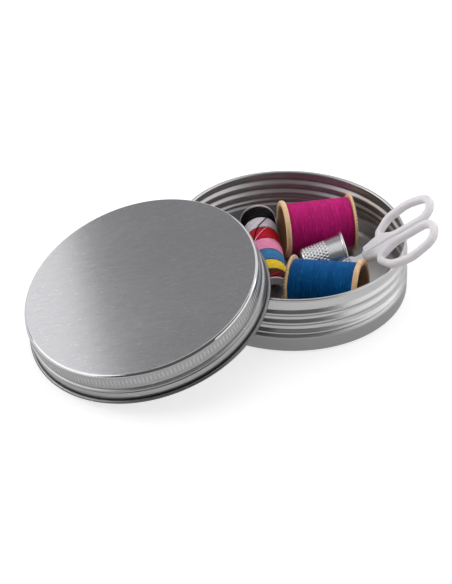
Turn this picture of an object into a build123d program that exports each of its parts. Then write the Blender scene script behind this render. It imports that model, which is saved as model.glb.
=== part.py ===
from build123d import *
from math import cos, sin, radians
import os

# Sewing tin: a round screw-top aluminium tin, opened, with its lid leaning beside it and a small
# sewing kit lying inside. Millimetres. +Z is up; the origin is the centre of the tin's flat bottom.

# ---- driving dimensions -------------------------------------------------------------------------
SHEET = 0.45                 # thickness of the drawn aluminium

BODY_RADIUS = 43.6           # plain lower wall of the tin
NECK_RADIUS = 42.3           # threaded neck that the lid screws on
RIM_RADIUS = 42.8            # outermost line of the rolled rim
TIN_HEIGHT = 22.85
BODY_HEIGHT = 6.9            # height of the plain lower wall
CORNER_RADIUS = 2.2          # bend between bottom and wall
RIM_ROLL = 0.65              # radius of the rolled rim's own section
BEAD_STAND = 0.95            # how far a thread bead stands out of the neck
BEAD_HEIGHTS = (9.0, 12.7, 16.9)     # middle heights of the shoulder bead and the two thread beads
BEAD_HALF = 1.35             # half the height of one bead

LID_HEIGHT = 12.95
LID_EDGE_RADIUS = 43.45      # outermost line of the top disc
KNURL_RADIUS = 43.85         # knurled grip band
LID_BEAD_RADIUS = 44.1       # bead under the grip band
SKIRT_RADIUS = 43.85         # plain band above the hem
GROOVE_RADIUS = 43.4         # pressed lines between the bands
HEM_RADIUS = 45.15           # rolled hem, the widest line of the lid
HEM_ROLL = 0.78              # radius of the hem's own section
LINER_RADIUS = 42.6
LINER_THICKNESS = 1.0
LINER_GAP = 0.1              # air between the liner and the lid's top

SPOOL_LENGTH = 27.1
FLANGE_RADIUS = 10.8
FLANGE_THICKNESS = 1.9       # flange at the flared end
TOOTHED_THICKNESS = 1.0      # the other flange, whose rim is finely toothed
FLANGE_EDGE = 0.7            # rounding of the thick flange's rim
TOOTHED_EDGE = 0.3
BARREL_RADIUS = 7.9
SPOOL_BORE = 6.0
DISH_RADIUS = 8.7            # mouth of the flared end of the bore
DISH_DEPTH = 4.5
WOUND_RADIUS = 9.5           # outside of the wound thread
WOUND_GAP = 0.02             # air between the winding and the wood

TUBE_LENGTH = 48.6           # thread tube wound with bands of several colours
TUBE_CORE_RADIUS = 4.6
TUBE_BORE = 3.6
TUBE_FLANGE_RADIUS = 6.75
TUBE_FLANGE = 0.8
BAND_RADIUS = 6.5
BAND_ENDS = {                # distance of each band's near end from the tube's far end
    "black": 8.0, "white": 14.6, "red": 21.8, "pink": 29.0, "blue": 35.8, "yellow": 42.0, "brown": 47.8,
}

THIMBLE_LENGTH = 17.6
THIMBLE_MOUTH = 8.0          # outer radius at the open end, under the rolled rim
THIMBLE_TIP = 6.5            # outer radius at the closed end
THIMBLE_WALL = 0.55
THIMBLE_ROLL = 0.55          # radius of the rolled rim's section
THIMBLE_DOME = 1.1           # rise of the closed end

BLADE_THICKNESS = 0.9
BLADE_GAP = 0.05             # running gap between the two blades
BLADE_LENGTH = 21.6          # from rivet to point
RIVET_RADIUS = 0.9
RIVET_CLEARANCE = 0.05
RIVET_HEAD_RADIUS = 1.7
RIVET_HEAD = 0.5
HANDLE_THICKNESS = 2.9
HANDLE_ROUNDING = 1.2
LOOP_WIDTH = 2.8             # width of the plastic round a finger hole
LOOP_SHIFT = 0.65            # the pair of loops stands this far to the front of the blades' line
BACK_EXTRA = 1.1             # the back handle's neck is wider than the front one's
SEAM = 0.17                  # half the gap between the closed handles
NECK_START, NECK_END = 7.0, 23.0     # the neck's reach from the rivet; its edge along the gap is crisp

# ---- where things lie ---------------------------------------------------------------------------
FLOOR_GAP = 0.2              # air under what lies on the tin's floor

LID_FOOT = (-50.69, -37.95, 14.62)   # centre of the lid's hem; the low side of the hem meets the table
LID_LEAN = 18.8                      # degrees off upright
LID_LEAN_TOWARDS = 212.8             # heading of the lean, degrees from +X

MAGENTA_AT, MAGENTA_TURN, MAGENTA_RISE = (10.5, 21.8, 11.85), 11.1, 1.2
BLUE_AT, BLUE_TURN, BLUE_RISE = (13.3, -20.0, 13.2), -14.9, 6.6
TUBE_AT, TUBE_TURN = (-11.9, 32.0, SHEET + FLOOR_GAP + TUBE_FLANGE_RADIUS), -82.7
THIMBLE_AT, THIMBLE_TURN, THIMBLE_RISE = (21.4, 3.9, 11.4), 9.8, 14.0
RIVET_AT = (21.57, -8.67, 15.5)
SCISSORS_TURN, SCISSORS_SLOPE, SCISSORS_ROLL = -6.4, 39.2, 13.0


def along(place, turn, rise):
    """Location whose local Z runs with heading `turn` and climbs by `rise`, both in degrees."""
    return Pos(*place) * Rot(0, 0, turn) * Rot(0, 90 - rise, 0)


def ring(section):
    """Turns a section drawn on the XZ plane round the Z axis."""
    return revolve(section, Axis.Z, 360)


def section(*edges):
    return make_face(Plane.XZ * Wire(list(edges)))


# ---- tin ----------------------------------------------------------------------------------------
def neck_outline(inset, foot, top):
    """Section of the tin's outside, or of its inside when inset by the sheet's thickness."""
    body, neck = BODY_RADIUS - inset, NECK_RADIUS - inset
    corner = CORNER_RADIUS - inset
    edges = [
        Line((0, foot), (body - corner, foot)),
        RadiusArc((body - corner, foot), (body, foot + corner), -corner),
    ]
    last = (body, foot + corner)
    shoulder = (body, BODY_HEIGHT)
    edges.append(Line(last, shoulder))
    last = shoulder
    for height in BEAD_HEIGHTS:
        low, high = (neck, height - BEAD_HALF), (neck, height + BEAD_HALF)
        edges.append(Line(last, low))
        edges.append(ThreePointArc(low, (neck + BEAD_STAND, height), high))
        last = high
    edges.append(Line(last, (neck, top)))
    edges.append(Line((neck, top), (0, top)))
    edges.append(Line((0, top), (0, foot)))
    return section(*edges)


def tin_base():
    roll_height = TIN_HEIGHT - RIM_ROLL
    outside = ring(neck_outline(0, 0, roll_height))
    hollow = ring(neck_outline(SHEET, SHEET, TIN_HEIGHT + 5))
    roll = Torus(RIM_RADIUS - RIM_ROLL, RIM_ROLL)
    return outside + Pos(0, 0, roll_height) * roll - hollow


# ---- lid ----------------------------------------------------------------------------------------
def lid_shell():
    """Lid in its own frame: Z up its axis, origin at the centre of the hem's lowest plane."""
    edge = 0.5
    under = LID_HEIGHT - SHEET
    bands = [                # (radius, height) up the skirt, from the hem to the top disc
        (SKIRT_RADIUS, 0.5), (SKIRT_RADIUS, 4.2), (GROOVE_RADIUS, 4.4), (GROOVE_RADIUS, 4.6),
        (LID_BEAD_RADIUS, 4.85), (LID_BEAD_RADIUS, 5.75), (GROOVE_RADIUS, 6.05), (GROOVE_RADIUS, 6.3),
        (KNURL_RADIUS, 6.6), (KNURL_RADIUS, 11.6), (GROOVE_RADIUS, 11.8), (GROOVE_RADIUS, 12.0),
    ]
    outside = bands + [(LID_EDGE_RADIUS, 12.2), (LID_EDGE_RADIUS, LID_HEIGHT - edge)]
    inside = [(radius - SHEET, height) for radius, height in bands] + [(GROOVE_RADIUS - SHEET, under)]
    top_start = (LID_EDGE_RADIUS - edge, LID_HEIGHT)
    edges = [Line(low, high) for low, high in zip(outside, outside[1:])]
    edges.append(RadiusArc(outside[-1], top_start, edge))
    edges.append(Line(top_start, (0, LID_HEIGHT)))
    edges.append(Line((0, LID_HEIGHT), (0, under)))
    edges.append(Line((0, under), inside[-1]))
    edges += [Line(high, low) for low, high in zip(inside, inside[1:])]
    edges.append(Line(inside[0], outside[0]))
    hem = Pos(0, 0, HEM_ROLL) * Torus(HEM_RADIUS - HEM_ROLL, HEM_ROLL)
    turned_out = Pos(0, 0, HEM_ROLL) * (Cylinder(SKIRT_RADIUS + 0.3, HEM_ROLL)
                                        - Cylinder(SKIRT_RADIUS - SHEET, HEM_ROLL))
    return ring(section(*edges)) + hem + turned_out


def lid_liner():
    top = LID_HEIGHT - SHEET - LINER_GAP
    return Pos(0, 0, top - LINER_THICKNESS / 2) * Cylinder(LINER_RADIUS, LINER_THICKNESS)


# ---- spools -------------------------------------------------------------------------------------
def spool():
    """Turned wooden spool about Z, centred, with its flared end at the top."""
    half = SPOOL_LENGTH / 2
    body = Cylinder(BARREL_RADIUS, SPOOL_LENGTH)
    for side, thickness, edge in ((-1, TOOTHED_THICKNESS, TOOTHED_EDGE), (1, FLANGE_THICKNESS, FLANGE_EDGE)):
        flange = Cylinder(FLANGE_RADIUS, thickness)
        flange = fillet(flange.edges(), edge)
        body += Pos(0, 0, side * (half - thickness / 2)) * flange
    flare = Pos(0, 0, half - DISH_DEPTH / 2) * Cone(SPOOL_BORE, DISH_RADIUS, DISH_DEPTH)
    return body - Cylinder(SPOOL_BORE, SPOOL_LENGTH) - flare


def wound_thread():
    height = SPOOL_LENGTH - FLANGE_THICKNESS - TOOTHED_THICKNESS - 2 * WOUND_GAP
    winding = Cylinder(WOUND_RADIUS, height)
    winding = fillet(winding.edges(), 0.4)
    winding -= Cylinder(BARREL_RADIUS + WOUND_GAP, height)
    return Pos(0, 0, (TOOTHED_THICKNESS - FLANGE_THICKNESS) / 2) * winding


# ---- thread tube --------------------------------------------------------------------------------
def thread_tube():
    """Plastic tube from its far end, at the origin, along Z to its near end."""
    tube = Pos(0, 0, TUBE_LENGTH / 2) * Cylinder(TUBE_CORE_RADIUS, TUBE_LENGTH)
    for end in (TUBE_FLANGE / 2, TUBE_LENGTH - TUBE_FLANGE / 2):
        tube += Pos(0, 0, end) * Cylinder(TUBE_FLANGE_RADIUS, TUBE_FLANGE)
    return tube - Pos(0, 0, TUBE_LENGTH / 2) * Cylinder(TUBE_BORE, TUBE_LENGTH)


def thread_bands():
    """One winding for each colour, side by side along the tube."""
    bands, start = {}, TUBE_FLANGE
    for colour, end in BAND_ENDS.items():
        height = end - start - 2 * WOUND_GAP
        band = Cylinder(BAND_RADIUS, height)
        band = fillet(band.edges(), 0.35) - Cylinder(TUBE_CORE_RADIUS + WOUND_GAP, height)
        bands[colour] = Pos(0, 0, (start + end) / 2) * band
        start = end
    return bands


# ---- thimble ------------------------------------------------------------------------------------
def thimble():
    """Thimble about Z with the plane of its open end at the origin and its closed end below."""
    def cup(inset, top):
        low = -THIMBLE_LENGTH + THIMBLE_DOME + inset
        tip, mouth = THIMBLE_TIP - inset, THIMBLE_MOUTH - inset
        dome = (tip**2 + THIMBLE_DOME**2) / (2 * THIMBLE_DOME)
        half_way = dome - (dome**2 - (tip / 2)**2) ** 0.5
        crown = low - THIMBLE_DOME
        return ring(section(
            Line((0, top), (mouth, top)),
            Line((mouth, top), (tip, low)),
            ThreePointArc((tip, low), (tip / 2, crown + half_way), (0, crown)),
            Line((0, crown), (0, top)),
        ))
    roll = Pos(0, 0, -THIMBLE_ROLL) * Torus(THIMBLE_MOUTH + 0.15, THIMBLE_ROLL)
    return cup(0, -0.2) + roll - cup(THIMBLE_WALL, 0.4)


# ---- scissors -----------------------------------------------------------------------------------
# In their own frame the rivet is at the origin, the points lie along -X, the finger loops along +X,
# and the front half's handle is on the -Y side. Z is square to the blades.
def blade(side, layer):
    """One blade with its tang. `side` is the Y side of its handle, `layer` its side of the joint."""
    tang = [(5.6, 0.35), (12.5, 0.9), (12.5, 2.3), (4.4, 2.3)]
    cutting = [
        (-2.2, 2.2), (-5.5, 0.55), (-BLADE_LENGTH, 0.12), (-BLADE_LENGTH, -0.12), (-13.0, -1.75),
        (-3.0, -2.35), (1.5, -2.2),
    ]
    corners = [(x, side * y - LOOP_SHIFT) for x, y in tang] + [(x, side * y) for x, y in cutting]
    flat = make_face(Polyline(*corners, close=True))
    middle = layer * (BLADE_GAP + BLADE_THICKNESS / 2)
    return Pos(0, 0, middle) * extrude(flat, BLADE_THICKNESS / 2, both=True)


def handle(side, tang):
    """One moulded handle: a neck that grips the tang, and a finger loop."""
    near = SEAM + LOOP_WIDTH / 2
    far, out = (37.4, 13.7) if side > 0 else (38.2, 14.2)
    corners = [(12.9, 5.9), (20.5, near), (far, near), (far, out - 3.0), (27.5, out), (18.6, 12.0)]
    roundings = [2.2, 9.0, 5.2, 5.2, 12.0, 7.0]
    line = make_face(FilletPolyline(*corners, radius=roundings, close=True))
    loop = offset(line, LOOP_WIDTH / 2) - offset(line, -LOOP_WIDTH / 2)
    wide = BACK_EXTRA if side > 0 else 0
    neck = make_face(Polyline((NECK_START, SEAM), (NECK_START, 2.75 + wide), (12.6, 4.4 + wide),
                              (14.2, 5.4 + wide), (NECK_END, 1.6), (NECK_END, SEAM), close=True))
    flat = loop + neck
    slab = extrude(flat, HANDLE_THICKNESS / 2, both=True)
    slab = fillet(slab.edges().filter_by(Axis.Z, reverse=True), HANDLE_ROUNDING)
    crisp_edge = Box(NECK_END - NECK_START, HANDLE_ROUNDING, HANDLE_THICKNESS)
    slab += Pos((NECK_START + NECK_END) / 2, SEAM + HANDLE_ROUNDING / 2, 0) * crisp_edge
    if side < 0:
        slab = mirror(slab, Plane.XZ)
    return Pos(0, -LOOP_SHIFT, 0) * slab - tang


def rivet():
    length = 2 * (BLADE_GAP + BLADE_THICKNESS) + 2 * BLADE_GAP
    body = Cylinder(RIVET_RADIUS, length)
    for side in (-1, 1):
        head = Pos(0, 0, side * (length + RIVET_HEAD) / 2) * Cylinder(RIVET_HEAD_RADIUS, RIVET_HEAD)
        body += head
    return body


def build():
    parts = {"tin_base": tin_base()}

    lid_place = Pos(*LID_FOOT) * Rot(0, 0, LID_LEAN_TOWARDS) * Rot(0, LID_LEAN, 0)
    parts["lid_shell"] = lid_place * lid_shell()
    parts["lid_liner"] = lid_place * lid_liner()

    spools = {
        "magenta": along(MAGENTA_AT, MAGENTA_TURN + 180, -MAGENTA_RISE),
        "blue": along(BLUE_AT, BLUE_TURN, BLUE_RISE),
    }
    for colour, place in spools.items():
        parts[f"{colour}_spool"] = place * spool()
        parts[f"{colour}_thread"] = place * wound_thread()

    tube_place = along(TUBE_AT, TUBE_TURN, 0)
    parts["thread_tube"] = tube_place * thread_tube()
    for colour, band in thread_bands().items():
        parts[f"thread_band_{colour}"] = tube_place * band

    parts["thimble"] = along(THIMBLE_AT, THIMBLE_TURN, THIMBLE_RISE) * thimble()

    scissors_place = (Pos(*RIVET_AT) * Rot(0, 0, SCISSORS_TURN) * Rot(0, -SCISSORS_SLOPE, 0)
                      * Rot(SCISSORS_ROLL, 0, 0))
    pin_hole = Cylinder(RIVET_RADIUS + RIVET_CLEARANCE, 10)
    halves = {"front": (-1, 1), "back": (1, -1)}
    for name, (side, layer) in halves.items():
        steel = blade(side, layer)
        parts[f"scissors_{name}_handle"] = scissors_place * handle(side, steel)
        parts[f"scissors_{name}_blade"] = scissors_place * (steel - pin_hole)
    parts["scissors_rivet"] = scissors_place * rivet()
    return parts


os.makedirs("parts", exist_ok=True)
for node, solid in build().items():
    export_step(solid, f"parts/{node}.step")
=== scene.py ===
import math

import bmesh
import bpy
from mathutils import Matrix, Vector


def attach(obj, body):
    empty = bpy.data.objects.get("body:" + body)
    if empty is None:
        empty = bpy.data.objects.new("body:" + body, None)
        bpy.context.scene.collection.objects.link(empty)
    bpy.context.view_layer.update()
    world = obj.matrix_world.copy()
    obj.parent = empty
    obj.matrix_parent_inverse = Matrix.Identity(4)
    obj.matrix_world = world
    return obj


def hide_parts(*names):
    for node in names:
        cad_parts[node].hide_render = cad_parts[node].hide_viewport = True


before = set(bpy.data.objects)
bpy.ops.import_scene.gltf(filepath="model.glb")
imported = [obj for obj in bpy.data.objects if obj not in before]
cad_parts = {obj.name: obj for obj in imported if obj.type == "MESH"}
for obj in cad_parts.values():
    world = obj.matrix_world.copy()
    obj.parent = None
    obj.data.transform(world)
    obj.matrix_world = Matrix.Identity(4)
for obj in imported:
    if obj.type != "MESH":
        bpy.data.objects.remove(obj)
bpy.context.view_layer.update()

# ---- tin ----------------------------------------------------------------------------------------
# Drawn aluminium sheet: a plain wall with a shoulder bead, a neck with a rolled screw thread, and a
# rim rolled outwards. The thread climbs the neck, fades out at both ends and shows inside as well.
MM = 0.001


class Wire:
    """A node's output. Expressions on wires and numbers add Math nodes to its tree."""

    def __init__(self, owner, socket):
        self.owner, self.socket = owner, socket

    def _maths(self, operation, first, second):
        return self.owner.node("ShaderNodeMath", {"operation": operation}, {0: first, 1: second})

    def __add__(self, other):
        return self._maths("ADD", self, other)

    def __sub__(self, other):
        return self._maths("SUBTRACT", self, other)

    def __rsub__(self, other):
        return self._maths("SUBTRACT", other, self)

    def __mul__(self, other):
        return self._maths("MULTIPLY", self, other)

    def __pow__(self, other):
        return self._maths("POWER", self, other)

    def above(self, limit):
        return self._maths("GREATER_THAN", self, limit)

    __radd__, __rmul__ = __add__, __mul__


class Nodes:
    """A shader tree. node() adds one node and returns its output as a wire."""

    def __init__(self, tree):
        self.tree = tree

    def node(self, kind, settings, sockets, output=0):
        node = self.tree.nodes.new(kind)
        for name, value in settings.items():
            if name != "stops":
                setattr(node, name, value)
                continue
            stops = node.color_ramp.elements
            while len(stops) < len(value):
                stops.new(1.0)
            for stop, (position, colour) in zip(stops, value):
                stop.position, stop.color = position, colour
        for key, value in sockets.items():
            if isinstance(value, Wire):
                self.tree.links.new(value.socket, node.inputs[key])
            else:
                node.inputs[key].default_value = value
        return Wire(self, node.outputs[output])

    def ramp(self, factor, stops, span=None):
        """A colour ramp. With a span, factor is in metres and the stops are millimetres up to it."""
        if span:
            factor = factor * (1000 / span)
            stops = [(position / span, colour) for position, colour in stops]
        return self.node("ShaderNodeValToRGB", {"stops": stops}, {"Fac": factor})

    def mask(self, factor, off, on, span=None):
        """Goes from 0 at `off` to 1 at `on`, which may be the lower of the two."""
        return self.ramp(factor, sorted([(off, (0, 0, 0, 1)), (on, (1, 1, 1, 1))]), span)


class Finish(Nodes):
    """A material. feed() links wires to its shader's sockets."""

    def __init__(self, name, constants):
        self.material = bpy.data.materials.new(name)
        self.material.use_nodes = True
        super().__init__(self.material.node_tree)
        self.shader = self.tree.nodes["Principled BSDF"]
        for socket, value in constants.items():
            self.shader.inputs[socket].default_value = value

    def where(self):
        return self.node("ShaderNodeTexCoord", {}, {}, "Object")

    def local(self, place):
        """Object coordinates in the frame of a piece that stands at `place`."""
        return self.node("ShaderNodeMapping", {"vector_type": "TEXTURE"}, {
            "Vector": self.where(), "Location": place.to_translation(), "Rotation": place.to_euler()})

    def parts(self, vector):
        return [self.node("ShaderNodeSeparateXYZ", {}, {"Vector": vector}, axis) for axis in "XYZ"]

    def unrolled(self, vector, radius, squeeze=1.0):
        """Distance round a wall and height up it, laid flat. squeeze packs a pattern in height."""
        x, y, z = self.parts(vector)
        angle = self.node("ShaderNodeMath", {"operation": "ARCTAN2"}, {0: y, 1: x})
        return self.node("ShaderNodeCombineXYZ", {}, {"X": angle * radius, "Y": z * squeeze, "Z": 0.0})

    def stretched(self, vector, scale):
        return self.node("ShaderNodeMapping", {}, {"Vector": vector, "Scale": scale})

    def noise(self, vector, scale, detail=2.0, roughness=0.5):
        return self.node("ShaderNodeTexNoise", {}, {
            "Vector": vector, "Scale": scale, "Detail": detail, "Roughness": roughness})

    def blend(self, factor, first, second, kind="MIX"):
        return self.node("ShaderNodeMix", {"data_type": "RGBA", "blend_type": kind}, {
            0: factor, 6: first, 7: second}, 2)

    def bump(self, height, distance, strength):
        return self.node("ShaderNodeBump", {}, {
            "Height": height, "Distance": distance, "Strength": strength})

    def feed(self, wires):
        for socket, wire in wires.items():
            self.tree.links.new(wire.socket, self.shader.inputs[socket])
        return self.material


def linked(name, data):
    """A new object, linked to the scene."""
    thing = bpy.data.objects.new(name, data)
    bpy.context.scene.collection.objects.link(thing)
    return thing


def finished_mesh(name, mesh, body, replaced=()):
    """Makes a mesh a piece that rides on a body and takes the place of the replaced nodes."""
    piece = linked(name, mesh)
    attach(piece, body)
    if replaced:
        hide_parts(*replaced)


def lathe(name, section, steps, place=Matrix(), shape=None, sharp=40):
    """Closed mesh of a section in (radius, height) millimetres, swept round the local Z axis.
    shape(row, radius, height, angle) may move a point. A radius of 0 closes a pole."""
    mesh = bpy.data.meshes.new(name)
    work = bmesh.new()
    rings = []
    for row, (radius, height) in enumerate(section):
        ring = []
        for step in range(steps):
            angle = 2 * math.pi * step / steps
            r, z = shape(row, radius, height, angle) if shape else (radius, height)
            ring.append(work.verts.new((r * math.cos(angle) * MM, r * math.sin(angle) * MM, z * MM)))
        rings.append(ring)
    two_poles = section[0][0] == 0 and section[-1][0] == 0
    pairs = list(zip(rings, rings[1:])) + ([] if two_poles else [(rings[-1], rings[0])])
    for low, high in pairs:
        for step in range(steps):
            after = (step + 1) % steps
            work.faces.new((low[step], low[after], high[after], high[step]))
    bmesh.ops.remove_doubles(work, verts=work.verts, dist=2e-6)
    bmesh.ops.recalc_face_normals(work, faces=work.faces)
    work.to_mesh(mesh)
    work.free()
    mesh.transform(place)
    mesh.shade_smooth()
    mesh.set_sharp_from_angle(angle=math.radians(sharp))
    return mesh


def arc(centre, radius, start, end, count):
    """Points of a section's arc, in degrees from the outward direction towards up."""
    turns = [math.radians(start + (end - start) * i / count) for i in range(count + 1)]
    return [(centre[0] + radius * math.cos(a), centre[1] + radius * math.sin(a)) for a in turns]


body_radius, neck_radius, sheet = 43.6, 42.3, 0.45
foot_round, body_top = 2.2, 6.6
groove_height, groove_deep, groove_half = 7.5, 0.55, 0.8
bead_height, bead_stand, bead_half = 8.6, 1.15, 1.5
screw_height, screw_pitch, screw_stand, screw_half = 12.7, 4.0, 0.95, 1.7
half_turns, fade_turns = 1.35, 0.25      # of the screw thread: each way from its middle, at each end
rim_centre, rim_roll, rim_foot = (42.15, 22.2), 0.65, 21.5


def hump(distance, half):
    """Smooth bead: 1 on its crest and 0 from `half` away."""
    return math.cos(math.pi / 2 * min(1.0, abs(distance) / half)) ** 2


def tin_wall(height, angle):
    """Radius of the tin's outside at a height on its wall."""
    if height < body_top:
        return body_radius
    radius = neck_radius + bead_stand * hump(height - bead_height, bead_half)
    if height < groove_height:
        return max(radius, body_radius - groove_deep * hump(height - groove_height, groove_half))
    from_front = (angle + math.radians(90)) % (2 * math.pi) / (2 * math.pi)
    for lap in range(-1, 3):
        climbed = lap + from_front       # turns of thread since it passed the front at screw_height
        fade = min(1.0, max(0.0, (half_turns - abs(climbed - 0.5)) / fade_turns))
        crest = screw_height + screw_pitch * climbed
        radius += screw_stand * fade * hump(height - crest, screw_half)
    return min(radius, body_radius)


wide_rows = [foot_round + 0.44 * i for i in range(11)]           # up the plain wall
fine_rows = [7.0 + 0.22 * i for i in range(67)]                  # over the beads and the thread
wall_rows = wide_rows + fine_rows
foot_centre = (body_radius - foot_round, foot_round)
base = [(0, 0), (20, 0), (38, 0)]
foot = arc(foot_centre, foot_round, -90, 0, 8)[:-1]
outside = [(body_radius, z) for z in wall_rows]
rim_over = arc(rim_centre, rim_roll, -70, 160, 16)
inside = [(body_radius - sheet, z) for z in reversed(wall_rows)]
floor_edge = arc(foot_centre, foot_round - sheet, 0, -90, 8)[1:]
tin_floor = [(r, sheet) for r, z in reversed(base)]
tin_section = base + foot + outside + rim_over + inside + floor_edge + tin_floor
first_out = len(base + foot)
first_in = first_out + len(outside + rim_over)


def shape_tin(row, radius, height, angle):
    if first_out <= row < first_out + len(outside):
        return tin_wall(height, angle), height
    if first_in <= row < first_in + len(inside):
        return tin_wall(height, angle) - sheet, height
    return radius, height


tin_finish = Finish("drawn_aluminium", {"Metallic": 1.0})
tin_where = tin_finish.where()
drawn = tin_finish.noise(tin_finish.unrolled(tin_where, 43 * MM, 9.0), 160, 4.0, 0.6)
cloud = tin_finish.noise(tin_where, 45, 3.0)
speck = tin_finish.noise(tin_where, 900, 2.0)
# Painted shade: below the beads the plain wall's colour is multiplied darker, standing in for the dim
# reflection it shows; it is also made rougher.
plain_wall = tin_finish.mask(tin_finish.parts(tin_where)[2], 7.8, 6.0, span=10)
tin_tint = tin_finish.blend(drawn * 0.5 + cloud * 0.5, (0.38, 0.38, 0.38, 1), (0.50, 0.50, 0.50, 1))
tin_metal = tin_finish.feed({
    "Base Color": tin_finish.blend(plain_wall, tin_tint, (0.61, 0.60, 0.60, 1), "MULTIPLY"),
    "Roughness": drawn * 0.1 + cloud * 0.08 + 0.24 + plain_wall * 0.2,
    "Normal": tin_finish.bump(drawn + speck * 0.4, 0.004 * MM, 0.5)})

inner_finish = Finish("inner_aluminium", {"Metallic": 1.0})
inner_where = inner_finish.where()
inner_cloud = inner_finish.noise(inner_where, 60, 3.0)
inner_grain = inner_finish.noise(inner_finish.stretched(inner_where, (260, 1900, 1900)), 1.0, 4.0, 0.6)
# Painted light: the floor inside is made much paler than the walls, standing in for the light on it; it
# is also made rougher.
flat_floor = inner_finish.mask(inner_finish.parts(inner_where)[2], 2.2, 0.8, span=10)
inner_tint = inner_finish.blend(
    inner_cloud * 0.5 + inner_grain * 0.5, (0.36, 0.355, 0.36, 1), (0.52, 0.51, 0.515, 1))
inner_metal = inner_finish.feed({
    "Base Color": inner_finish.blend(flat_floor * 0.75, inner_tint, (0.86, 0.86, 0.86, 1)),
    "Roughness": inner_grain * 0.1 + inner_cloud * 0.08 + flat_floor * 0.16 + 0.36,
    "Normal": inner_finish.bump(inner_grain, 0.004 * MM, 0.4)})

tin_mesh = lathe("tin", tin_section, 320, shape=shape_tin)
tin_mesh.materials.append(tin_metal)
tin_mesh.materials.append(inner_metal)
for face in tin_mesh.polygons:
    inwards = face.center.x * face.normal.x + face.center.y * face.normal.y < -0.01
    face.material_index = int(face.center.z < rim_foot * MM and (inwards or face.normal.z > 0.9))
finished_mesh("tin", tin_mesh, "tin", ["tin_base"])

# ---- lid shell ----------------------------------------------------------------------------------
# Pressed from the same sheet: a flat top, a knurled grip band, a bead between two fine lines, a
# plain band and a rolled hem. Faint rolling marks run across the top.
lid_foot, lid_heading, lid_lean = (-50.69, -37.95, 14.62), 212.8, 18.8
lid_place = (Matrix.Translation(Vector(lid_foot) * MM)
             @ Matrix.Rotation(math.radians(lid_heading), 4, "Z")
             @ Matrix.Rotation(math.radians(lid_lean), 4, "Y"))
lid_height = 12.95
hem_centre, hem_roll = (44.5, 0.6), 0.6
lid_skirt = [                # (radius, height) up the outside: plain band, bead, knurled band
    (43.55, 1.0), (43.75, 1.08), (43.85, 1.25), (43.85, 4.25), (43.75, 4.4), (43.35, 4.48),
    (43.35, 4.6), (43.75, 4.72), (44.0, 4.95), (44.1, 5.3), (44.0, 5.65), (43.75, 5.88),
    (43.15, 6.0), (43.05, 6.1), (43.05, 6.3), (43.2, 6.4), (43.5, 6.5), (43.55, 6.7), (43.55, 11.3),
]
low_round, edge_round, top_round = 0.5, 1.8, 0.35        # three arcs, each running on into the next
lid_edge = (arc((43.0, 11.934), low_round, 0, 27, 4)
            + arc((41.842, 11.344), edge_round, 27, 60, 10)[1:]
            + arc((42.567, lid_height - top_round), top_round, 60, 90, 5)[1:])
lid_top = [(r, lid_height) for r in (42.2, 30, 15, 0)]
lid_under = [(r, lid_height - sheet) for r in (0, 15, 30, 41.9)]
lid_inside = [(r - sheet, z) for r, z in reversed(lid_skirt)]
hem = [(43.1, 0.7)] + arc(hem_centre, hem_roll, 200, 480, 28)
lid_section = lid_under + lid_inside + hem + lid_skirt + lid_edge + lid_top

lid_finish = Finish("lid_aluminium", {"Metallic": 1.0})
lid_where = lid_finish.where()
rolled = lid_finish.noise(lid_finish.stretched(lid_where, (170, 2200, 2200)), 1.0, 5.0, 0.7)
drags = lid_finish.noise(lid_finish.stretched(lid_where, (60, 700, 700)), 1.0, 3.0, 0.6)
dabs = lid_finish.noise(lid_finish.stretched(lid_where, (420, 1300, 1300)), 1.0, 2.0)
lid_cloud = lid_finish.noise(lid_where, 28, 3.0)
lid_tint = lid_finish.ramp(rolled * 0.45 + drags * 0.3 + lid_cloud * 0.25, [
    (0.30, (0.475, 0.475, 0.49, 1)), (0.50, (0.525, 0.525, 0.54, 1)), (0.70, (0.58, 0.58, 0.59, 1))])
lid_x, lid_y, lid_z = lid_finish.parts(lid_finish.local(lid_place))
# Painted light and shade up the skirt: painted shadow on the hem, painted light on the foot of the plain
# band and on the top edge, painted shade over the grey bands.
skirt_light_and_shade = lid_finish.ramp(lid_z, [            # dark hem, bright foot, grey bands, bright top
    (0.7, (0.20, 0.20, 0.20, 1)), (1.1, (0.30, 0.30, 0.29, 1)), (1.3, (0.85, 0.85, 0.84, 1)),
    (2.0, (0.80, 0.80, 0.79, 1)), (2.6, (0.55, 0.55, 0.54, 1)), (5.8, (0.58, 0.58, 0.57, 1)),
    (6.4, (0.42, 0.42, 0.41, 1)), (12.06, (0.42, 0.42, 0.41, 1)), (12.24, (0.90, 0.90, 0.90, 1)),
], span=20)
across_lid = (lid_x * lid_x + lid_y * lid_y) ** 0.5
# Painted shade in the knurling: the ridge tops are painted lighter than the valleys between them.
lit_ridge_tops = lid_finish.mask(across_lid, 43.58, 43.74, span=100) * lid_z.above(6.3 * MM)
skirt_light_and_shade = lid_finish.blend(lit_ridge_tops, skirt_light_and_shade, (0.74, 0.74, 0.72, 1))
lid_tint = lid_finish.blend(1.0, lid_tint, skirt_light_and_shade, "MULTIPLY")
bright_dabs = lid_finish.mask(dabs, 0.64, 0.72)
rubbed_skirt = lid_finish.mask(lid_z, 12.0, 11.6, span=20)
smooth_edge = (lid_finish.mask(lid_z, 11.94, 12.1, span=20)
               * lid_finish.mask(lid_z, 12.93, 12.86, span=20))
lid_rough = rolled * 0.08 + lid_cloud * 0.04 + rubbed_skirt * 0.12 + 0.12
lid_metal = lid_finish.feed({
    "Base Color": lid_finish.blend(bright_dabs * 0.18, lid_tint, (0.85, 0.85, 0.86, 1)),
    "Roughness": lid_rough * (1.0 - smooth_edge * 0.75),
    "Normal": lid_finish.bump(rolled, 0.001 * MM, 0.2)})
lid_mesh = lathe("lid", lid_section, 320, lid_place)
lid_mesh.materials.append(lid_metal)
finished_mesh("lid", lid_mesh, "lid", ["lid_shell"])


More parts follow.
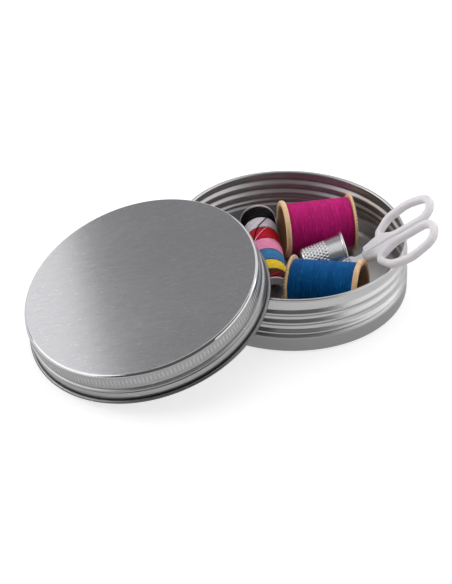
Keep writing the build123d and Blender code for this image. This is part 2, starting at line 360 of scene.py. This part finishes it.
# ---- lid knurl ----------------------------------------------------------------------------------
# The grip: fine upright ridges that a wheel rolls into the skirt all the way round. Each one is a
# long, low bump that dies out at its two ends.
def evaluated_mesh(thing):
    """The mesh that an object's modifiers make of it."""
    return bpy.data.meshes.new_from_object(thing.evaluated_get(bpy.context.evaluated_depsgraph_get()))


class Tree:
    """A Geometry Nodes tree with named inputs. node() adds one node and returns its output."""

    def __init__(self, name, inputs):
        self.tree = bpy.data.node_groups.new(name, "GeometryNodeTree")
        for label, kind in inputs.items():
            self.tree.interface.new_socket(label, in_out="INPUT", socket_type=kind)
        self.tree.interface.new_socket("Geometry", in_out="OUTPUT", socket_type="NodeSocketGeometry")
        self.given = self.tree.nodes.new("NodeGroupInput").outputs
        self.taken = self.tree.nodes.new("NodeGroupOutput").inputs

    def node(self, kind, settings, sockets, output=0):
        node = self.tree.nodes.new(kind)
        for name, value in settings.items():
            setattr(node, name, value)
        for key, value in sockets.items():
            for item in value if isinstance(value, list) else [value]:
                if isinstance(item, bpy.types.NodeSocket):
                    self.tree.links.new(item, node.inputs[key])
                else:
                    node.inputs[key].default_value = item
        return node.outputs[output]

    def finish(self, geometry):
        real = self.node("GeometryNodeRealizeInstances", {}, {"Geometry": geometry})
        smooth = self.node("GeometryNodeSetShadeSmooth", {}, {"Geometry": real})
        painted = self.node("GeometryNodeSetMaterial", {}, {
            "Geometry": smooth, "Material": self.given["Finish"]})
        self.tree.links.new(painted, self.taken["Geometry"])

    def grow(self, name, values, place):
        """The tree's mesh with these inputs, moved to `place`."""
        seed = linked(name + "_seed", bpy.data.meshes.new(name + "_seed"))
        growth = seed.modifiers.new("growth", "NODES")
        growth.node_group = self.tree
        for item in self.tree.interface.items_tree:
            if item.in_out == "INPUT" and item.name in values:
                growth[item.identifier] = values[item.name]
        mesh = evaluated_mesh(seed)
        mesh.name = name
        seed.modifiers.remove(growth)
        bpy.data.objects.remove(seed)
        mesh.transform(place)
        return mesh


ridge_count, ridge_radius, ridge_middle = 187, 43.5, 9.6
ridge_stand, ridge_half_width, ridge_half_height = 0.28, 0.50, 2.0
knurl = Tree("knurl", {
    "Ridges": "NodeSocketInt", "Radius": "NodeSocketFloat", "Stand": "NodeSocketFloat",
    "Half width": "NodeSocketFloat", "Half height": "NodeSocketFloat", "Finish": "NodeSocketMaterial"})
around = knurl.node("GeometryNodeMeshCircle", {}, {
    "Vertices": knurl.given["Ridges"], "Radius": knurl.given["Radius"]})
ridge = knurl.node("GeometryNodeMeshUVSphere", {}, {"Segments": 8, "Rings": 6, "Radius": 1.0})
ridge_size = knurl.node("ShaderNodeCombineXYZ", {}, {
    "X": knurl.given["Stand"], "Y": knurl.given["Half width"], "Z": knurl.given["Half height"]})
ridge = knurl.node("GeometryNodeTransform", {}, {"Geometry": ridge, "Scale": ridge_size})
outward = knurl.node("FunctionNodeAlignRotationToVector", {"axis": "X", "pivot_axis": "Z"}, {
    "Vector": knurl.node("GeometryNodeInputPosition", {}, {})})
knurl.finish(knurl.node("GeometryNodeInstanceOnPoints", {}, {
    "Points": around, "Instance": ridge, "Rotation": outward}))
knurl_mesh = knurl.grow("lid_knurl", {
    "Ridges": ridge_count, "Radius": ridge_radius * MM, "Stand": ridge_stand * MM,
    "Half width": ridge_half_width * MM, "Half height": ridge_half_height * MM, "Finish": lid_metal,
}, lid_place @ Matrix.Translation((0, 0, ridge_middle * MM)))
finished_mesh("lid_knurl", knurl_mesh, "lid")


# ---- lid liner ----------------------------------------------------------------------------------
# A disc of white closed-cell foam, pressed into the lid and held by its own spring. It seals on the
# tin's rim, which has left a faint ring in it.
def round_edge(radius, low, high, corner, count=4):
    """Points up the edge of a disc, with both of its corners rounded."""
    return (arc((radius - corner, low + corner), corner, -90, 0, count)
            + arc((radius - corner, high - corner), corner, 0, 90, count))


liner_radius, liner_thick, liner_gap, liner_corner = 42.6, 1.0, 0.1, 0.25
liner_high = lid_height - sheet - liner_gap
liner_low = liner_high - liner_thick
liner_section = ([(r, liner_low) for r in (0, 20, 38)]
                 + round_edge(liner_radius, liner_low, liner_high, liner_corner)
                 + [(r, liner_high) for r in (38, 20, 0)])
foam_finish = Finish("liner_foam", {"Specular IOR Level": 0.25})
foam_where = foam_finish.local(lid_place)
cells = foam_finish.node("ShaderNodeTexVoronoi", {}, {"Vector": foam_where, "Scale": 2600.0})
foam_cloud = foam_finish.noise(foam_where, 60, 3.0)
from_mouth = foam_finish.node("ShaderNodeVectorMath", {"operation": "LENGTH"}, {0: foam_where}, 1)
rim_mark = (foam_finish.mask(from_mouth, 42.5, 42.9, span=1000)
            * foam_finish.mask(from_mouth, 44.6, 44.2, span=1000))
foam_tint = foam_finish.blend(
    foam_cloud * 0.6 + cells * 0.3, (0.66, 0.66, 0.63, 1), (0.84, 0.84, 0.82, 1))
foam_white = foam_finish.feed({
    "Base Color": foam_finish.blend(rim_mark * 0.3, foam_tint, (0.5, 0.5, 0.49, 1)),
    "Roughness": foam_cloud * 0.1 + 0.75,
    "Normal": foam_finish.bump(cells - rim_mark * 1.5, 0.08 * MM, 0.6)})
liner_mesh = lathe("liner", liner_section, 160, lid_place)
liner_mesh.materials.append(foam_white)
finished_mesh("liner", liner_mesh, "lid_seal", ["lid_liner"])


# ---- wooden spools ------------------------------------------------------------------------------
# Turned hardwood: a hollow barrel between two rounded flanges. One end of the bore is flared, and
# the other flange has a finely toothed edge. The grain runs along the barrel.
def tone(red, green, blue):
    """Linear colour from the eight-bit values that a colour chart gives."""
    def linear(value):
        value /= 255
        return value / 12.92 if value <= 0.04045 else ((value + 0.055) / 1.055) ** 2.4
    return (linear(red), linear(green), linear(blue), 1.0)


def lying(place, turn, rise):
    """Frame whose Z runs with heading `turn` and climbs by `rise`, both in degrees."""
    return (Matrix.Translation(Vector(place) * MM) @ Matrix.Rotation(math.radians(turn), 4, "Z")
            @ Matrix.Rotation(math.radians(90 - rise), 4, "Y"))


spool_half, flange_radius, barrel, bore = 13.55, 10.8, 7.9, 6.0
flange_thick, toothed_thick, teeth, tooth_deep = 1.9, 1.0, 52, 0.6
toothed_end, barrel_start = -spool_half, toothed_thick - spool_half
barrel_end = spool_half - flange_thick
flange_face = flange_radius - 0.75
low_flange = (round_edge(flange_radius, toothed_end, barrel_start, 0.3)
              + [(flange_face, barrel_start)])
high_flange = round_edge(flange_radius, barrel_end, spool_half, 0.7, 6)
flare = [(5.95, 8.6), (6.05, 9.3), (6.35, 10.3), (6.85, 11.3), (7.5, 12.2), (8.2, 12.95),
         (8.75, 13.35), (9.1, 13.5), (9.4, spool_half)]
spool_bore = [(bore, 4), (bore, -4), (bore, -9), (5.98, toothed_end + 0.25)]
spool_section = ([(6.2, toothed_end), (flange_face, toothed_end)] + low_flange
                 + [(barrel, barrel_start), (barrel, 0), (barrel, barrel_end)] + high_flange
                 + list(reversed(flare)) + spool_bore)


def shape_spool(row, radius, height, angle):
    outer_edge = height < toothed_end + 0.35 and radius > flange_radius - 0.4
    notch = abs((angle * teeth / math.pi) % 2 - 1)
    return radius - (tooth_deep * notch ** 1.2 if outer_edge else 0.0), height


def turned_wood(name, place, shift):
    """Pale hardwood with the grain along the spool's axis, painted darker in the flared end and the bore
    as their shade.
    """
    wood = Finish(name, {"Specular IOR Level": 0.3, "Sheen Weight": 0.05})
    where = wood.local(place)
    x, y, z = wood.parts(where)
    shifted = wood.node("ShaderNodeVectorMath", {"operation": "ADD"}, {
        0: where, 1: (shift, shift * 0.7, 0.0)})
    grain = wood.noise(wood.stretched(shifted, (900, 900, 55)), 1.0, 5.0, 0.65)
    pores = wood.noise(wood.stretched(shifted, (2600, 2600, 260)), 1.0, 2.0)
    rings = wood.node("ShaderNodeTexWave", {"wave_type": "RINGS", "rings_direction": "Z"}, {
        "Vector": shifted, "Scale": 130.0, "Distortion": 2.5, "Detail": 3.0, "Detail Scale": 1.5})
    across = (x * x + y * y) ** 0.5
    # Painted shade: the flared end and the bore are darkened as the shade inside the hollow.
    flared = wood.mask(across, 9.4, 8.4, span=10) * z.above(0.0)
    bored = wood.mask(across, 6.4, 6.1, span=10)
    pale = wood.blend(grain * 0.7 + rings * 0.3, tone(220, 168, 118), tone(250, 218, 176))
    speckled = wood.blend(wood.mask(pores, 0.60, 0.72) * 0.35, pale, tone(150, 98, 60))
    shaded_wood = wood.blend(flared * 0.75, speckled, tone(100, 60, 36))
    shaded_wood = wood.blend(bored * 0.9, shaded_wood, tone(62, 36, 24))
    return wood.feed({"Base Color": shaded_wood, "Roughness": grain * 0.2 + 0.48,
                      "Normal": wood.bump(grain * 0.6 + pores * 0.4 + rings * 0.15, 0.06 * MM, 0.6)})


spool_places = {
    "magenta": lying((10.5, 21.8, 11.85), 191.1, -1.2),
    "blue": lying((13.3, -20.0, 13.2), -14.9, 6.6),
}
grain_shifts = {"magenta": 0.0, "blue": 0.3}
for colour, place in spool_places.items():
    name = f"{colour}_spool_wood"
    spool_mesh = lathe(name, spool_section, teeth * 8, place, shape_spool, 50)
    spool_mesh.materials.append(turned_wood(name, place, grain_shifts[colour]))
    finished_mesh(name, spool_mesh, f"{colour}_reel", [f"{colour}_spool"])

# ---- wound thread -------------------------------------------------------------------------------
# Sewing thread wound in close turns over the barrel, over many layers. The turns show as fine
# ridges, slightly uneven, with a soft sheen where the light runs across them.
winding = Tree("winding", {
    "Radius": "NodeSocketFloat", "Length": "NodeSocketFloat", "Turns": "NodeSocketFloat",
    "Thread": "NodeSocketFloat", "Unevenness": "NodeSocketFloat", "Steps": "NodeSocketInt",
    "Inner": "NodeSocketFloat", "Finish": "NodeSocketMaterial"})
helix = winding.node("GeometryNodeCurveSpiral", {}, {
    "Resolution": winding.given["Steps"], "Rotations": winding.given["Turns"],
    "Start Radius": winding.given["Radius"], "End Radius": winding.given["Radius"],
    "Height": winding.given["Length"]})
turn_place = winding.node("GeometryNodeInputPosition", {}, {})
along_turns = winding.node("ShaderNodeVectorMath", {"operation": "MULTIPLY"}, {
    0: turn_place, 1: (110.0, 110.0, 1500.0)})
lumps = winding.node("ShaderNodeTexNoise", {}, {"Vector": along_turns, "Scale": 1.0, "Detail": 3.0})
centred = winding.node("ShaderNodeMath", {"operation": "SUBTRACT"}, {0: lumps, 1: 0.62})
lump_size = winding.node("ShaderNodeMath", {"operation": "MULTIPLY_ADD"}, {
    0: centred, 1: winding.given["Unevenness"], 2: 1.0})
swelled = winding.node("ShaderNodeVectorMath", {"operation": "SCALE"}, {
    0: turn_place, "Scale": lump_size})
swelled_x, swelled_y = [
    winding.node("ShaderNodeSeparateXYZ", {}, {"Vector": swelled}, axis) for axis in "XY"]
kept_height = winding.node("ShaderNodeSeparateXYZ", {}, {"Vector": turn_place}, "Z")
uneven = winding.node("ShaderNodeCombineXYZ", {}, {
    "X": swelled_x, "Y": swelled_y, "Z": kept_height})
helix = winding.node("GeometryNodeSetPosition", {}, {"Geometry": helix, "Position": uneven})
strand = winding.node("GeometryNodeCurvePrimitiveCircle", {}, {
    "Resolution": 5, "Radius": winding.given["Thread"]})
turns = winding.node("GeometryNodeCurveToMesh", {}, {"Curve": helix, "Profile Curve": strand})
sleeve = winding.node("GeometryNodeMeshCylinder", {"fill_type": "NONE"}, {
    "Vertices": 96, "Radius": winding.given["Inner"], "Depth": winding.given["Length"]})
half_up = winding.node("ShaderNodeMath", {"operation": "MULTIPLY"}, {0: winding.given["Length"], 1: 0.5})
up = winding.node("ShaderNodeCombineXYZ", {}, {"X": 0.0, "Y": 0.0, "Z": half_up})
sleeve = winding.node("GeometryNodeTransform", {}, {"Geometry": sleeve, "Translation": up})
winding.finish(winding.node("GeometryNodeJoinGeometry", {}, {"Geometry": [turns, sleeve]}))


def spun_thread(name, place, light, dark):
    """Spun thread: its own colour over a deeper one in random streaks, partly painted shade between
    turns, with painted glints along the turns.
    """
    thread = Finish(name, {"Sheen Weight": 0.03, "Sheen Roughness": 0.4, "Specular IOR Level": 0.10})
    unrolled = thread.unrolled(thread.local(place), 9.5 * MM)
    streaks = thread.noise(thread.stretched(unrolled, (170, 1700, 0)), 1.0, 4.0, 0.6)
    layers = thread.noise(thread.stretched(unrolled, (40, 420, 0)), 1.0, 2.0)
    fibres = thread.noise(thread.stretched(unrolled, (600, 4200, 0)), 1.0, 2.0)
    shade = thread.ramp(streaks * 0.5 + layers * 0.2 + fibres * 0.3, [(0.30, dark), (0.62, light)])
    # Painted highlight: pale specks along the turns stand in for glints of light.
    painted_glint = thread.mask(fibres * 0.6 + streaks * 0.4, 0.58, 0.72)
    colour = thread.blend(painted_glint * 0.2, shade, thread.blend(0.45, light, (1, 1, 1, 1)))
    return thread.feed({"Base Color": colour, "Roughness": streaks * 0.3 + 0.33,
                        "Normal": thread.bump(fibres * 0.5 + streaks * 0.5, 0.06 * MM, 0.6)})


loose_radius = 0.19


def add_strands(mesh, place, strands):
    """Adds loose strands to a winding's mesh. Each is a row of (angle, radius, height) points."""
    curve = bpy.data.curves.new(mesh.name + "_loose", "CURVE")
    curve.dimensions = "3D"
    curve.bevel_depth = loose_radius * MM
    curve.bevel_resolution = 2
    curve.use_fill_caps = True
    for strand in strands:
        line = curve.splines.new("NURBS")
        line.points.add(len(strand) - 1)
        line.use_endpoint_u, line.order_u = True, 3
        for point, (angle, radius, height) in zip(line.points, strand):
            turn = math.radians(angle)
            point.co = (radius * math.cos(turn) * MM, radius * math.sin(turn) * MM, height * MM, 1.0)
    loose = linked(curve.name, curve)
    strand_mesh = evaluated_mesh(loose)
    bpy.data.objects.remove(loose)
    strand_mesh.transform(place)
    strand_mesh.polygons.foreach_set(
        "material_index", [mesh.polygons[0].material_index] * len(strand_mesh.polygons))
    work = bmesh.new()
    work.from_mesh(mesh)
    work.from_mesh(strand_mesh)
    work.to_mesh(mesh)
    work.free()
    mesh.shade_smooth()


def wind(name, place, body, node, radius, length, pitch, light, dark, steps, loose=()):
    """One winding of thread, centred on `place` along its Z, as a finished piece."""
    start = place @ Matrix.Translation((0, 0, -(length / 2 - pitch) * MM))
    mesh = winding.grow(name, {
        "Radius": (radius - pitch * 0.5) * MM, "Length": (length - 2 * pitch) * MM,
        "Turns": (length - 2 * pitch) / pitch, "Thread": pitch * 0.56 * MM, "Unevenness": 0.016,
        "Steps": steps, "Inner": (radius - pitch * 0.55) * MM,
        "Finish": spun_thread(name, place, light, dark)}, start)
    if loose:
        add_strands(mesh, *loose)
    finished_mesh(name, mesh, body, [node])


wound_radius, wound_pitch, wound_gap = 9.5, 0.27, 0.04
wound_length = spool_half * 2 - flange_thick - toothed_thick - wound_gap
wound_middle = Matrix.Translation((0, 0, (toothed_thick - flange_thick) / 2 * MM))
wound_colours = {            # colour: (light, dark)
    "magenta": (tone(224, 38, 142), tone(156, 8, 88)),
    "blue": (tone(0, 108, 178), tone(0, 56, 112)),
}
for colour, (light, dark) in wound_colours.items():
    wind(f"{colour}_winding", spool_places[colour] @ wound_middle, f"{colour}_reel",
         f"{colour}_thread", wound_radius, wound_length, wound_pitch, light, dark, 48)

# ---- thread tube --------------------------------------------------------------------------------
# A moulded white plastic tube with a thin flange at each end, wound with seven short bands of
# thread, each a colour of its own, laid side by side and touching.
tube_place = lying((-11.9, 32.0, 7.4), -82.7, 0)
tube_length, tube_core, tube_bore, tube_flange, flange_wall = 48.6, 4.6, 3.6, 6.75, 0.8
tube_middle, bore_edge, flange_corner = 24, 0.2, 0.25
tube_section = (
    [(tube_bore, bore_edge), (tube_bore + bore_edge, 0)]
    + round_edge(tube_flange, 0, flange_wall, flange_corner)
    + [(tube_core, flange_wall), (tube_core, tube_middle), (tube_core, tube_length - flange_wall)]
    + round_edge(tube_flange, tube_length - flange_wall, tube_length, flange_corner)
    + [(tube_bore + bore_edge, tube_length), (tube_bore, tube_length - bore_edge)]
    + [(tube_bore, tube_middle)])
tube_finish = Finish("tube_plastic", {"IOR": 1.5, "Subsurface Weight": 0.08, "Subsurface Scale": 0.001})
tube_where = tube_finish.local(tube_place)
tube_cloud = tube_finish.noise(tube_where, 260, 3.0)
tube_scuff = tube_finish.noise(tube_finish.stretched(tube_where, (500, 500, 2500)), 1.0, 3.0)
tube_white = tube_finish.feed({
    "Base Color": tube_finish.blend(tube_cloud, tone(196, 190, 194), tone(226, 222, 224)),
    "Roughness": tube_scuff * 0.25 + 0.3, "Normal": tube_finish.bump(tube_scuff, 0.04 * MM, 0.3)})
tube_mesh = lathe("tube", tube_section, 96, tube_place)
tube_mesh.materials.append(tube_white)
finished_mesh("tube", tube_mesh, "tube_reel", ["thread_tube"])

band_radius, band_pitch, band_gap = 6.5, 0.26, 0.04
band_colours = {             # colour: (where the band ends, light, dark)
    "black": (8.0, tone(15, 13, 16), tone(6, 5, 7)),
    "white": (14.6, tone(240, 234, 240), tone(200, 192, 202)),
    "red": (21.8, tone(224, 38, 50), tone(166, 16, 32)),
    "pink": (29.0, tone(255, 174, 210), tone(232, 122, 168)),
    "blue": (35.8, tone(80, 150, 200), tone(36, 96, 152)),
    "yellow": (42.0, tone(255, 228, 84), tone(226, 184, 30)),
    "brown": (47.8, tone(96, 46, 46), tone(50, 18, 20)),
}
loose_ends = {               # colour: strands that cross other bands, as (angle, radius, height)
    "black": [[(158, 6.45, 7.6), (163, 6.72, 9.0), (183, 6.74, 12.3), (196, 6.74, 14.3),
               (207, 6.74, 17.2), (217, 6.72, 20.4), (226, 6.4, 23.0)]],
    "pink": [[(166, 6.4, 15.0), (171, 6.72, 15.8), (182, 6.74, 17.3), (194, 6.74, 18.9),
              (209, 6.74, 20.8), (220, 6.45, 22.6)]],
    "red": [[(206, 6.5, 47.2), (196, 6.75, 47.2), (186, 6.85, 46.7), (175, 6.75, 45.7),
             (165, 6.75, 44.9), (158, 6.4, 44.2)],
            [(186, 6.4, 46.0), (178, 6.8, 46.9), (168, 6.75, 46.2), (158, 6.5, 46.8)]],
}
band_start = flange_wall
for colour, (band_end, light, dark) in band_colours.items():
    middle = tube_place @ Matrix.Translation((0, 0, (band_start + band_end) / 2 * MM))
    loose = (tube_place, loose_ends[colour]) if colour in loose_ends else ()
    wind(f"{colour}_band", middle, "tube_reel", f"thread_band_{colour}",
         band_radius, band_end - band_start - band_gap, band_pitch, light, dark, 40, loose)
    band_start = band_end

# ---- thimble ------------------------------------------------------------------------------------
# Polished sheet metal with a rolled mouth. Rows of small round dimples cover the wall from the
# closed end to past the middle.
thimble_place = lying((21.4, 3.9, 11.4), 9.8, 14.0)
thimble_length, mouth, tip, wall, mouth_round = 17.6, 8.0, 6.5, 0.55, 0.65
dimples, dimple_rows, row_pitch, dimple_depth, dimple_half = 34, 8, 1.12, 0.26, 0.58
crown_height, first_row = 1.1, 2.2           # both from the closed end


def thimble_radius(height):
    return mouth + (tip - mouth) * (height / (crown_height - thimble_length))


crown = [(0, -thimble_length), (1.6, -thimble_length + 0.06), (3.2, -thimble_length + 0.25),
         (4.6, -thimble_length + 0.52), (5.5, -thimble_length + 0.8), (6.1, -thimble_length + 1.08)]
dimpled = [(thimble_radius(z), z) for z in [-thimble_length + 1.6 + 0.105 * i for i in range(96)]]
plain = [(thimble_radius(z), z) for z in (-5.6, -4.4, -3.0, -1.9, -1.35)]
mouth_roll = arc((mouth + 0.1, -mouth_round), mouth_round, -110, 130, 16)
inner_wall = [(thimble_radius(z) - wall, z) for z in (-0.6, -4, -8, -12, -16.3)]
inner_crown = [(5.2, -16.75), (3.0, -16.98), (0, -17.05)]
thimble_section = crown + dimpled + plain + mouth_roll + inner_wall + inner_crown


def shape_thimble(row, radius, height, angle):
    line = (height + thimble_length - first_row) / row_pitch
    on_dimples = len(crown) <= row < len(crown + dimpled) and -0.5 <= line < dimple_rows - 0.5
    if not on_dimples:
        return radius, height
    nearest = round(line)
    sideways = (angle / (2 * math.pi) * dimples + 0.5 * (nearest % 2)) % 1 - 0.5
    away = math.hypot(sideways * 2 * math.pi * radius / dimples, (line - nearest) * row_pitch)
    return radius - dimple_depth * hump(away, dimple_half), height


steel = Finish("thimble_metal", {"Metallic": 1.0})
steel_where = steel.local(thimble_place)
steel_cloud = steel.noise(steel_where, 420, 3.0)
steel_rub = steel.noise(steel.stretched(steel_where, (700, 700, 4200)), 1.0, 3.0)
thimble_metal = steel.feed({
    "Base Color": steel.blend(steel_cloud, (0.52, 0.52, 0.53, 1), (0.64, 0.64, 0.65, 1)),
    "Roughness": steel_rub * 0.12 + 0.21, "Normal": steel.bump(steel_rub, 0.02 * MM, 0.25)})
thimble_mesh = lathe("thimble_shell", thimble_section, dimples * 11, thimble_place, shape_thimble, 60)
thimble_mesh.materials.append(thimble_metal)
finished_mesh("thimble_shell", thimble_mesh, "thimble", ["thimble"])

# ---- scissors -----------------------------------------------------------------------------------
# Two ground steel blades on a rivet, each moulded into a white plastic handle with a finger loop.
# The moulding is soft-edged and runs smoothly from the neck into the loop.
scissors_place = (Matrix.Translation(Vector((21.57, -8.67, 15.5)) * MM)
                  @ Matrix.Rotation(math.radians(-6.4), 4, "Z")
                  @ Matrix.Rotation(math.radians(-39.2), 4, "Y")
                  @ Matrix.Rotation(math.radians(13.0), 4, "X"))
loop_start, loop_blend, loop_fill = 15.5, 3.0, 0.28      # from the rivet, its run-in, and growth
moulded = Finish("handle_plastic", {
    "IOR": 1.45, "Subsurface Weight": 0.9, "Subsurface Scale": 0.006,
    "Subsurface Radius": (1.0, 0.97, 0.97)})
handle_where = moulded.local(scissors_place)
flow = moulded.noise(handle_where, 130, 3.0)
skin = moulded.noise(handle_where, 2400, 2.0)
handle_white = moulded.feed({
    "Base Color": moulded.blend(flow, tone(220, 215, 219), tone(231, 227, 231)),
    "Roughness": flow * 0.1 + skin * 0.08 + 0.30, "Normal": moulded.bump(skin, 0.02 * MM, 0.25)})

ground = Finish("blade_steel", {"Metallic": 1.0})
blade_where = ground.local(scissors_place)
strokes = ground.noise(ground.stretched(blade_where, (5200, 260, 400)), 1.0, 4.0, 0.6)
blade_cloud = ground.noise(blade_where, 150, 2.0)
blade_steel = ground.feed({
    "Base Color": ground.blend(strokes, (0.26, 0.26, 0.27, 1), (0.42, 0.42, 0.43, 1)),
    "Roughness": strokes * 0.12 + blade_cloud * 0.06 + 0.14,
    "Normal": ground.bump(strokes, 0.02 * MM, 0.4)})


def soft_handle(name, cast):
    """A handle with its edges softened, and its loop rounded off and filled out again."""
    work = bmesh.new()
    work.from_mesh(cast)
    bmesh.ops.remove_doubles(work, verts=work.verts, dist=2e-6)
    work.to_mesh(cast)
    work.free()
    handle = linked(name, cast)
    remesh = handle.modifiers.new("skin", "REMESH")
    remesh.mode, remesh.voxel_size, remesh.use_smooth_shade = "VOXEL", 0.16 * MM, True
    soften = handle.modifiers.new("soften", "SMOOTH")
    soften.factor, soften.iterations = 0.5, 6
    handle.data = evaluated_mesh(handle)
    handle.modifiers.clear()
    loop = handle.vertex_groups.new(name="loop")
    to_scissors = scissors_place.inverted()
    for point in handle.data.vertices:
        share = ((to_scissors @ point.co).x / MM - loop_start) / loop_blend
        if share > 0:
            loop.add([point.index], min(share, 1.0), "REPLACE")
    round_off = handle.modifiers.new("round_off", "SMOOTH")
    round_off.factor, round_off.iterations, round_off.vertex_group = 0.5, 200, "loop"
    fill_out = handle.modifiers.new("fill_out", "DISPLACE")
    fill_out.strength, fill_out.mid_level, fill_out.vertex_group = loop_fill * MM, 0.0, "loop"
    mesh = evaluated_mesh(handle)
    bpy.data.objects.remove(handle)
    mesh.shade_smooth()
    return mesh


for side in ("front", "back"):
    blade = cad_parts[f"scissors_{side}_blade"]
    blade.data.materials.clear()
    blade.data.materials.append(blade_steel)
    handle_mesh = soft_handle(f"{side}_rough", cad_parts[f"scissors_{side}_handle"].data.copy())
    handle_mesh.name = f"{side}_handle"
    handle_mesh.materials.clear()
    handle_mesh.materials.append(handle_white)
    finished_mesh(f"{side}_handle", handle_mesh, f"scissors_{side}",
                  [f"scissors_{side}_handle"])

# ---- rivet --------------------------------------------------------------------------------------
# A turned steel rivet through both blades, which turn on its shank. A low domed head on each side
# holds them together.
shank = 0.9
half_head = [(shank, 1.0), (1.66, 1.02), (1.66, 1.1), (1.4, 1.33), (0.9, 1.48), (0, 1.53)]
rivet_section = [(r, -z) for r, z in reversed(half_head)] + [(shank, 0)] + half_head
rivet_mesh = lathe("rivet", rivet_section, 48, scissors_place, sharp=50)
rivet_mesh.materials.append(blade_steel)
finished_mesh("rivet", rivet_mesh, "scissors_front", ["scissors_rivet"])

# ---- studio -------------------------------------------------------------------------------------
# A pale table top under a grey room that is darkest in front. One soft box behind on the left is
# mirrored by the lid, one hangs overhead, and the others stand round the sides.
table_half = 3
table_corners = [(x * table_half, y * table_half, 0) for x, y in ((-1, -1), (1, -1), (1, 1), (-1, 1))]
table_mesh = bpy.data.meshes.new("table_top")
table_mesh.from_pydata(table_corners, [], [(0, 1, 2, 3)])
table_top = linked("table_top", table_mesh)
table_finish = Finish("table_top", {"Base Color": (0.46, 0.46, 0.46, 1), "Roughness": 0.9,
                                    "Specular IOR Level": 0.1})
seen, mirrored, through = [
    table_finish.node("ShaderNodeLightPath", {}, {}, f"Is {kind} Ray")
    for kind in ("Camera", "Glossy", "Transmission")]
lit = table_finish.node("ShaderNodeEmission", {}, {"Color": (1, 1, 1, 1), "Strength": 0.70})
unlit = table_finish.node("ShaderNodeEmission", {}, {"Color": (0, 0, 0, 1), "Strength": 0.0})
lift = table_finish.node("ShaderNodeMixShader", {}, {0: seen + mirrored + through, 1: unlit, 2: lit})
table_sum = table_finish.node("ShaderNodeAddShader", {}, {
    0: Wire(table_finish, table_finish.shader.outputs[0]), 1: lift})
table_finish.tree.links.new(
    table_sum.socket, table_finish.tree.nodes["Material Output"].inputs["Surface"])
table_mesh.materials.append(table_finish.material)

world = bpy.data.worlds.new("room")
world.use_nodes = True
bpy.context.scene.world = world
room = Nodes(world.node_tree)
facing = room.node("ShaderNodeTexCoord", {}, {}, "Generated")
towards_back = room.node("ShaderNodeSeparateXYZ", {}, {"Vector": facing}, "Y")
walls = room.ramp(towards_back * 0.5 + 0.5, [
    (0.20, (0.16, 0.16, 0.16, 1)), (0.74, (0.385, 0.385, 0.395, 1))])
world.node_tree.links.new(walls.socket, world.node_tree.nodes["Background"].inputs["Color"])
bpy.context.scene.view_settings.view_transform = "Standard"

soft_boxes = {               # name: (place, aim, roll, width, height, watts)
    "beside_lid": ((-0.3974, 0.1663, 0.2246), (0.0137, -0.4153, -0.4773), -36.9, 0.36, 0.42, 0.50),
    "overhead": ((-0.05, 0.10, 1.08), (0.0, 0.0, 0.0), 0, 1.40, 1.10, 3.4),
    "right": ((0.93, -0.12, 0.40), (0.0, 0.0, 0.02), 0, 1.30, 0.76, 4.6),
    "behind_right": ((0.54, 0.72, 0.62), (0.0, 0.0, 0.02), 0, 1.20, 0.95, 3.6),
    "left": ((-0.95, -0.16, 0.42), (0.0, 0.0, 0.02), 0, 1.20, 0.80, 5.4),
}


def aimed(place, target, roll):
    """Frame at `place` whose -Z points at `target`, turned about that line by `roll` degrees."""
    turn = (Vector(target) - Vector(place)).to_track_quat("-Z", "Y").to_matrix().to_4x4()
    return Matrix.Translation(place) @ turn @ Matrix.Rotation(math.radians(roll), 4, "Z")


for name, (place, target, roll, width, height, watts) in soft_boxes.items():
    lamp = bpy.data.lights.new(name, "AREA")
    lamp.shape = "RECTANGLE"
    lamp.size, lamp.size_y, lamp.energy = width, height, watts
    linked(name, lamp).matrix_world = aimed(place, target, roll)

# ---- camera -------------------------------------------------------------------------------------
# A long lens from 1.2 metres away, looking down into the tin from the front. The image is taller
# than it is wide, so the lens is set by its width.
eye, aim, tilt = (-0.02344, -0.97587, 0.68091), (-0.02344, -0.00553, 0.0), 0.71
image_width, focal_pixels = 452, 3200
camera_data = bpy.data.cameras.new("camera")
camera_data.sensor_fit = "HORIZONTAL"
camera_data.sensor_width = 36.0
camera_data.lens = focal_pixels / image_width * camera_data.sensor_width
camera_data.clip_start = 0.05
camera = linked("camera", camera_data)
camera.matrix_world = aimed(eye, aim, tilt)
bpy.context.scene.camera = camera
